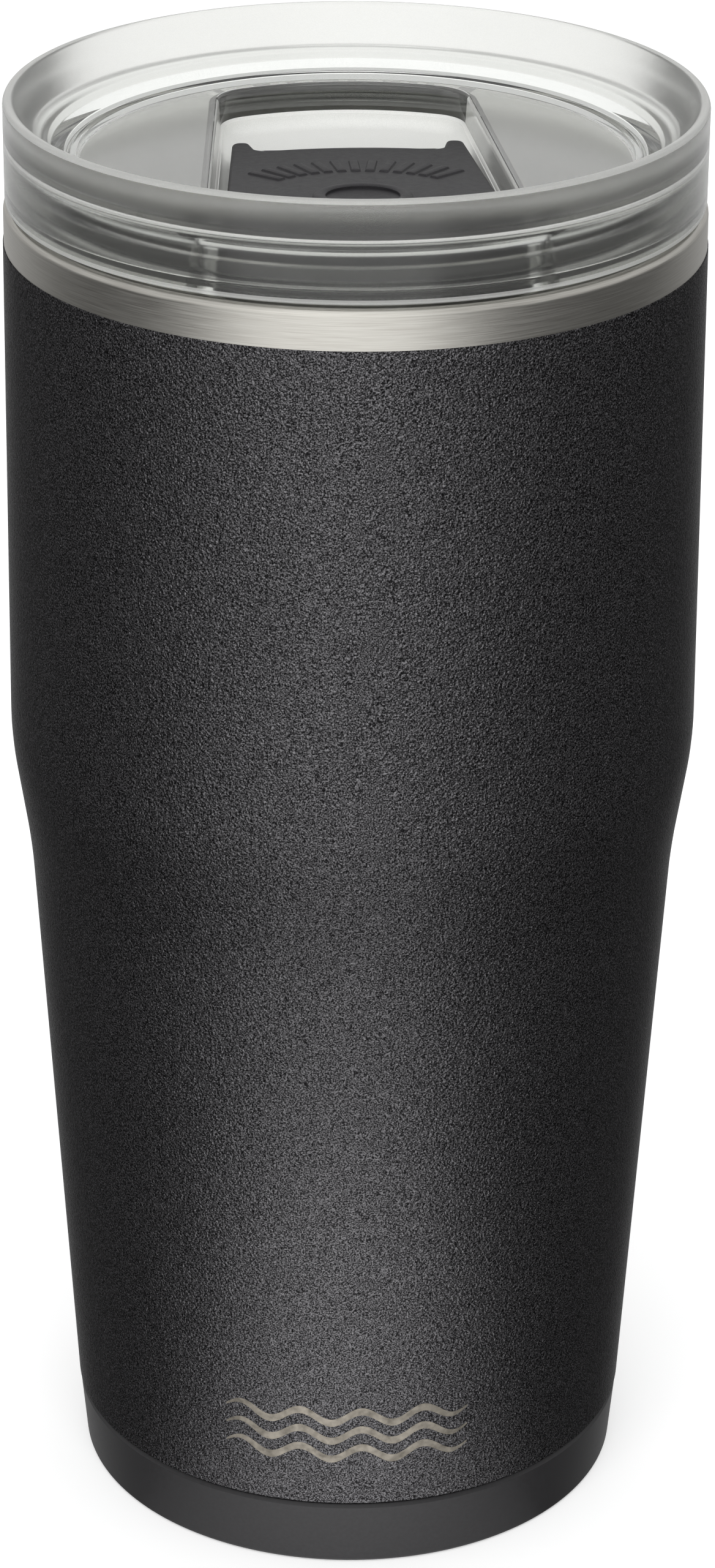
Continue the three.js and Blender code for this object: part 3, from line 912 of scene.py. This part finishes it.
def slider_top_at(y):
    """Height of the slider's sloping top."""
    front, tail = SLIDER_TOP
    return front + (tail - front) * (y + SLIDER_FRONT) / (EAR_TIP + SLIDER_FRONT)


def slider_plan():
    """Flared plate with a round front and an arched tail between two ears."""
    ear_width, arch_inset, arch_round, steps = 2.1, 3, 1.5, 8
    ear_round, ear_foot_round = 1.15, 0.85
    front = front_half(SLIDER_HALF_WIDTH, SLIDER_FRONT, SLIDER_ROUND)
    ear = SLIDER_HALF_WIDTH - FLARE * EAR_TIP
    arch = []
    for step in range(steps + 1):
        x = (ear - arch_inset) * (1 - step / steps)
        arch.append((x, TAIL_MIDDLE - TAIL_RADIUS + math.sqrt(TAIL_RADIUS**2 - x * x)))
    corners = [
        tuple(front[-1]),
        (ear, EAR_TIP, ear_round),
        (ear - ear_width, EAR_TIP, ear_foot_round),
        (*arch[0], arch_round),
        *arch[1:],
    ]
    tail = rounded(corners, 6)
    return mirrored(front[:-1] + [Vector(point) for point in tail])


def moved_in(outline, distance):
    """The outline moved inwards along its corners' normals."""
    count = len(outline)
    least = 0.5  # a sharp corner moves no further than twice the distance
    moved = []
    for index, here in enumerate(outline):
        before = (here - outline[index - 1]).normalized()
        after = (outline[(index + 1) % count] - here).normalized()
        normal = Vector((-(before.y + after.y), before.x + after.x)).normalized()
        stretch = max(least, normal.dot(Vector((-after.y, after.x))))
        moved.append(here + normal * distance / stretch)
    return moved


def under_top(drop, low):
    """A block whose top is the slider's slope, moved down."""
    reach = 45
    base = rectangle(reach, -reach, reach)
    top = [(x, y, slider_top_at(y) - drop) for x, y in base]
    return loft("under_top", [at_height(base, low), top])


def slider_block():
    """The slider's outside, with its top edge rounded."""
    plan = slider_plan()
    edge, bottom_edge = 0.5, 0.25
    loops = [
        at_height(moved_in(plan, bottom_edge), SLIDER_UNDER),
        at_height(plan, SLIDER_UNDER + bottom_edge),
    ]
    for inset, rise in arc(edge, -edge, edge, 180, 90, 6):
        outline = moved_in(plan, inset)
        loops.append([(x, y, slider_top_at(y) + rise) for x, y in outline])
    return loft("slider_body", loops)


def slider_hollow():
    """The space under the slider's skin, open below."""
    wall, skin, back, corner = 1.5, 1.7, 9, 1
    half_width = SLIDER_HALF_WIDTH - wall
    low = SLIDER_UNDER - CUT_PAST
    end = half_width - FLARE * back
    half = [
        *front_half(half_width, SLIDER_FRONT - wall, HOLLOW_ROUND),
        Vector((end, back - corner)),
        Vector((end - corner, back)),
        Vector((0, back)),
    ]
    outline = mirrored(half)
    hollow = loft("slider_hollow", [at_height(outline, low), at_height(outline, LID_TOP)])
    return combine(hollow, under_top(skin, low), "INTERSECT")


def snap_leg(sign):
    """A leg with a hook that runs under the channel floor."""
    front, back = -14.5, -5.5
    inner, outer, hook, hook_lip = 1.5, 2.7, 3.9, 0.7
    bottom = span("slider")[0].z
    hook_top = CHANNEL_UNDER - GAP
    top = slider_top_at(back) - 1  # inside the skin
    section = [
        (inner, bottom),
        (outer, bottom),
        (hook, hook_top - hook_lip),
        (hook, hook_top),
        (outer, hook_top),
        (outer, top),
        (inner, top),
    ]
    loops = [[(sign * x, y, z) for x, z in section] for y in (front, back)]
    return loft("snap_leg", loops if sign < 0 else loops[::-1])


def cross_rib():
    """The wall across the hollow, behind the seal."""
    front, back, top = -24.2, -23, 182.5
    outline = rectangle(SLIDER_HALF_WIDTH - 1, front, back)
    return loft("cross_rib", [at_height(outline, SLIDER_UNDER), at_height(outline, top)])


def tilted(piece):
    """Tilts a piece turned about Z onto the slider's slope, at the thumb ring."""
    slope = (SLIDER_TOP[1] - SLIDER_TOP[0]) / (EAR_TIP + SLIDER_FRONT)
    centre = Vector((0, RING_CENTRE, slider_top_at(RING_CENTRE))) * MM
    piece.data.transform(Matrix.Translation(centre) @ Matrix.Rotation(math.atan(slope), 4, "X"))
    return piece


def thumb_ring():
    """Raised ring for the thumb, with soft flanks."""
    half_width, rise, sunk = 0.9, 0.5, 0.6
    crown = []
    for step in range(1, 15):
        angle = math.radians(12 * step)
        crown.append((RING_RADIUS + half_width * math.cos(angle), rise * math.sin(angle)))
    profile = [
        (RING_RADIUS - half_width, -sunk),
        (RING_RADIUS + half_width, -sunk),
        (RING_RADIUS + half_width, 0),
        *crown,
        (RING_RADIUS - half_width, 0),
    ]
    return tilted(turned("thumb_ring", profile, 96))


def thumb_dish():
    """The shallow dish inside the ring, as a lens to cut away."""
    depth, radius, top, steps = 0.35, RING_RADIUS - 0.7, 1.5, 8
    profile = [(0, -depth)]
    for step in range(1, steps + 1):
        share = step / steps
        profile.append((radius * share, -depth * (1 - share * share)))
    profile += [(radius, top), (0, top)]
    return tilted(turned("thumb_dish", profile, 96))


def grip_rib(angle):
    """A short raised bar that points at the thumb ring's centre, angle in degrees."""
    start, end, half_width, rise, sunk = 13.5, 18.5, 0.5, 0.3, 0.6
    levels = ((-0.15, -sunk), (-0.15, 0), (0, 0.7 * rise), (0.25, rise))  # inset, height
    loops = []
    for inset, height in levels:
        wide, near, far = half_width - inset, start + inset, end - inset
        loops.append([(-wide, near, height), (wide, near, height),
                      (wide, far, height), (-wide, far, height)])
    rib = loft("grip_rib", loops)
    rib.data.transform(Matrix.Rotation(math.radians(angle), 4, "Z"))
    return tilted(rib)


def slider():
    """The slider as one solid: block, hollow, rib, snap legs, thumb ring and grip ribs."""
    piece = slider_block()
    combine(piece, slider_hollow(), "DIFFERENCE")
    combine(piece, cross_rib(), "UNION")
    combine(piece, snap_leg(1), "UNION")
    combine(piece, snap_leg(-1), "UNION")
    combine(piece, thumb_ring(), "UNION")
    combine(piece, thumb_dish(), "DIFFERENCE")
    for step in range(-RIB_STEPS, RIB_STEPS + 1):
        combine(piece, grip_rib(step * RIB_ANGLE), "UNION")
    return smooth(piece)


def slider_seal():
    """Soft pad in the slider's nose, with a rounded lower edge."""
    low, high = span("slider_seal")
    inset, edge = 1.8, 0.5
    half_width = SLIDER_HALF_WIDTH - inset
    front = front_half(half_width, -low.y, HOLLOW_ROUND)
    end = half_width - FLARE * high.y
    outline = mirrored([*front, Vector((end, high.y)), Vector((0, high.y))])
    loops = []
    for move, height in arc(edge, low.z + edge, edge, 270, 180, 4):
        loops.append(at_height(moved_in(outline, move), height))
    loops.append(at_height(outline, high.z))
    return smooth(loft("nose_seal", loops))


# ---------------------------------------------------------------- stage


def studio_floor():
    """A plain pale floor, which neither lights the tumbler nor shows in reflections."""
    size = 900
    floor = new_mesh("floor", at_height(rectangle(size, -size, size), 0), [[0, 1, 2, 3]])
    finish = Finish("floor_paper", Roughness=0.9, Specular_IOR_Level=0.1)
    finish.shader.inputs["Emission Color"].default_value = (1, 1, 1, 1)
    finish.shader.inputs["Emission Strength"].default_value = FLOOR_GLOW
    paper = finish.noise(30, detail=2)
    finish.link(finish.colours(paper, (0.9, 0.9, 0.9), (0.93, 0.93, 0.93)), "Base Color")
    paint(floor, finish.material)
    floor.visible_glossy = False
    floor.visible_diffuse = False


def bounce_card():
    """A glowing card on the floor in front of the base, which only reflections show."""
    radius, thickness, drop = CARD["radius"], 0.2, 2
    profile = [(0, 0), (radius, 0), (radius, thickness), (0, thickness)]
    card = turned("bounce_card", profile, 64)
    card.location = Vector((*CARD["centre"], -drop)) * MM
    finish = Finish("bounce_card", Roughness=0.9)
    finish.shader.inputs["Emission Color"].default_value = (1, 1, 1, 1)
    reach = finish.node("ShaderNodeVectorMath", {0: finish.place}, operation="LENGTH")
    bright, edge = CARD["bright_share"] * radius * MM, radius * MM
    glow = finish.between(reach.outputs["Value"], CARD["strength"], 0, bright, edge)
    finish.link(glow, "Emission Strength")
    paint(card, finish.material)
    card.visible_camera = card.visible_transmission = card.visible_shadow = False


def studio_world():
    """Soft studio light: front panels, a backdrop, a softbox overhead, and one on each side.

    The camera sees it all as plain white.
    """
    world = bpy.data.worlds.new("studio")
    bpy.context.scene.world = world
    world.use_nodes = True
    tree = world.node_tree
    background = tree.nodes["Background"]
    background.inputs["Color"].default_value = (1, 1, 1, 1)

    def node(kind, inputs, **settings):
        return add_node(tree, kind, inputs, **settings)

    def fade(value, limits, low, high):
        """Goes smoothly from low to high as value passes the two limits."""
        inputs = {0: value, 1: limits[0], 2: limits[1], 3: low, 4: high}
        return node("ShaderNodeMapRange", inputs, interpolation_type="SMOOTHSTEP").outputs[0]

    def math_node(operation, first, second):
        return node("ShaderNodeMath", {0: first, 1: second}, operation=operation).outputs[0]

    def upright(light, rows):
        """A light with soft sides; rows is its share, from 0 to 1, at each height."""
        turn = math.radians(light["azimuth"])
        towards = (math.sin(turn), -math.cos(turn), 0)
        facing = node("ShaderNodeVectorMath", {0: heading, 1: towards}, operation="DOT_PRODUCT")
        inner, outer = (
            math.cos(math.radians(light["half_width"] + side * light["softness"]))
            for side in (-1, 1)
        )
        across = fade(facing.outputs["Value"], (outer, inner), 0, light["strength"])
        return math_node("MULTIPLY", across, rows)

    way = node("ShaderNodeTexCoord", {}).outputs["Generated"]
    x, y, z = node("ShaderNodeSeparateXYZ", {0: way}).outputs
    level = node("ShaderNodeVectorMath", {0: way, 1: (1, 1, 0)}, operation="MULTIPLY").outputs[0]
    heading = node("ShaderNodeVectorMath", {0: level}, operation="NORMALIZE").outputs[0]
    over_foot = fade(z, PANEL_FOOT_Z, 0, 1)
    low_rows = math_node("MULTIPLY", over_foot, fade(z, LOW_PANEL_TOP_Z, 1, 0))
    sideways = fade(math_node("MULTIPLY", x, x), SIDES["x_squared"], 0, SIDES["strength"])
    lights = [
        upright(FRONT_PANEL, over_foot),
        upright(LOW_PANEL, low_rows),
        fade(y, BACKDROP["y"], 0, BACKDROP["strength"]),
        fade(z, OVERHEAD["z"], 0, OVERHEAD["strength"]),
        math_node("MULTIPLY", sideways, fade(z, SIDES["z"], 0, 1)),
    ]
    total = lights[0]
    for light in lights[1:]:
        total = math_node("MAXIMUM", total, light)
    total = math_node("ADD", total, fade(z, FILL["z"], FILL["below"], FILL["above"]))
    seen = node("ShaderNodeLightPath", {}).outputs["Is Camera Ray"]
    strength = math_node("MAXIMUM", total, seen)
    tree.links.new(strength, background.inputs["Strength"])


def studio_camera():
    """The camera, in metres and degrees; azimuth 0 is in front of the drinking side."""
    distance, height = 0.5589, 0.3557
    azimuth, pitch, yaw, roll = (math.radians(a) for a in (-3.8, 24.735, 0.075, 0.417))
    heading = yaw - azimuth
    ahead = Vector((
        math.sin(heading) * math.cos(pitch),
        math.cos(heading) * math.cos(pitch),
        -math.sin(pitch),
    ))
    right = Vector((math.cos(heading), -math.sin(heading), 0))
    up = right.cross(ahead)
    rolled_right = right * math.cos(roll) + up * math.sin(roll)
    rolled_up = up * math.cos(roll) - right * math.sin(roll)
    data = bpy.data.cameras.new("camera")
    data.sensor_width = 36
    data.lens = 106.4
    data.clip_start = 0.01
    camera = bpy.data.objects.new("camera", data)
    turn = Matrix((rolled_right, rolled_up, -ahead)).transposed().to_4x4()
    place_at = Vector((math.sin(azimuth) * distance, -math.cos(azimuth) * distance, height))
    camera.matrix_world = Matrix.Translation(place_at) @ turn
    bpy.context.scene.collection.objects.link(camera)
    bpy.context.scene.camera = camera


# ---------------------------------------------------------------- assembly


def build_cup():
    band = brushed_steel("shell_steel", (0.38, 0.365, 0.335), (0.5, 0.49, 0.455), 0.3)
    etched = pressed_metal("etched_steel", (0.13, 0.118, 0.1), (0.3, 0.275, 0.235), 0.45)
    liner = brushed_steel("liner_steel", (0.66, 0.65, 0.63), (0.8, 0.79, 0.77), 0.4, 0.3, 0.7)
    pressed = pressed_metal("pressed_steel", (0.45, 0.44, 0.42), (0.6, 0.59, 0.57), 0.35)
    getter = pressed_metal("getter_metal", (0.2, 0.19, 0.18), (0.34, 0.33, 0.32), 0.8)
    rubber = soft_rubber("boot_silicone", (0.0115, 0.011, 0.012), (0.02, 0.019, 0.021), 0.5)

    place(paint(outer_shell(), band), "cup", "outer_shell", "liner_steel")
    place(paint(shell_coat(), powder_coat()), "cup", "outer_shell", "powder_coat")
    place(paint(etched_waves(), etched), "cup", "outer_shell", "liner_steel")
    place(paint(inner_liner(), liner), "cup", "inner_liner", "liner_steel")
    place(paint(base_plate(), pressed), "cup", "base_plate", "pressed_steel")
    place(paint(vacuum_seal(), glass_bead()), "cup", "vacuum_seal", "glass_bead")
    place(paint(getter_holder(), pressed), "cup", "getter_holder", "pressed_steel")
    place(paint(getter_pellet(), getter), "cup", "getter_pellet", "getter_metal")
    place(paint(base_boot(), rubber), "cup", "base_boot", "boot_silicone")


def build_lid():
    """The lid and slider, which share the silicone of their seals."""
    silicone = soft_rubber("gasket_silicone", (0.16, 0.16, 0.165), (0.21, 0.21, 0.215))
    skirt = frosted_plastic("skirt_plastic", milk=0.0, roughness=0.05, shade=0.95)
    finishes = {
        "clear": clear_plastic(),
        "funnel": frosted_plastic("frosted_plastic", milk=0.04, roughness=0.3, shade=0.82),
        # an opaque white for the channel floor: painted light, in place of the light the clear
        # floor reflects and lets through
        "floor": frosted_plastic("channel_floor_painted_light", milk=1.0, roughness=0.3),
        "wall": frosted_plastic("channel_wall", milk=0.45, roughness=0.12),
        # a near-black clear tint: painted shade on the channel's back wall
        "painted_shade": frosted_plastic("painted_shade_wall", milk=0.0, roughness=0.08, shade=0.04),
        # a milky lip and bottom edge: painted highlight lines
        "edge": frosted_plastic("lid_edge_painted_highlight", milk=0.42, roughness=0.3),
        "panel": frosted_plastic("lid_panel", milk=0.22, roughness=0.1),
        "side": frosted_plastic("lid_side", milk=0.04, roughness=0.17, shade=0.82),
    }

    place(lid_body(finishes), "lid", "lid_body", "lid_plastic")
    place(paint(lid_skirt(), skirt), "lid", "lid_skirt", "skirt_plastic")
    place(paint(lid_gasket(), silicone), "lid", "lid_gasket", "gasket_silicone")
    place(paint(slider(), matte_plastic()), "slider", "slider", "slider_plastic")
    place(paint(slider_seal(), silicone), "slider", "slider_seal", "gasket_silicone")


studio_camera()
build_cup()
build_lid()
studio_floor()
bounce_card()
studio_world()
bpy.context.scene.view_settings.view_transform = "Standard"
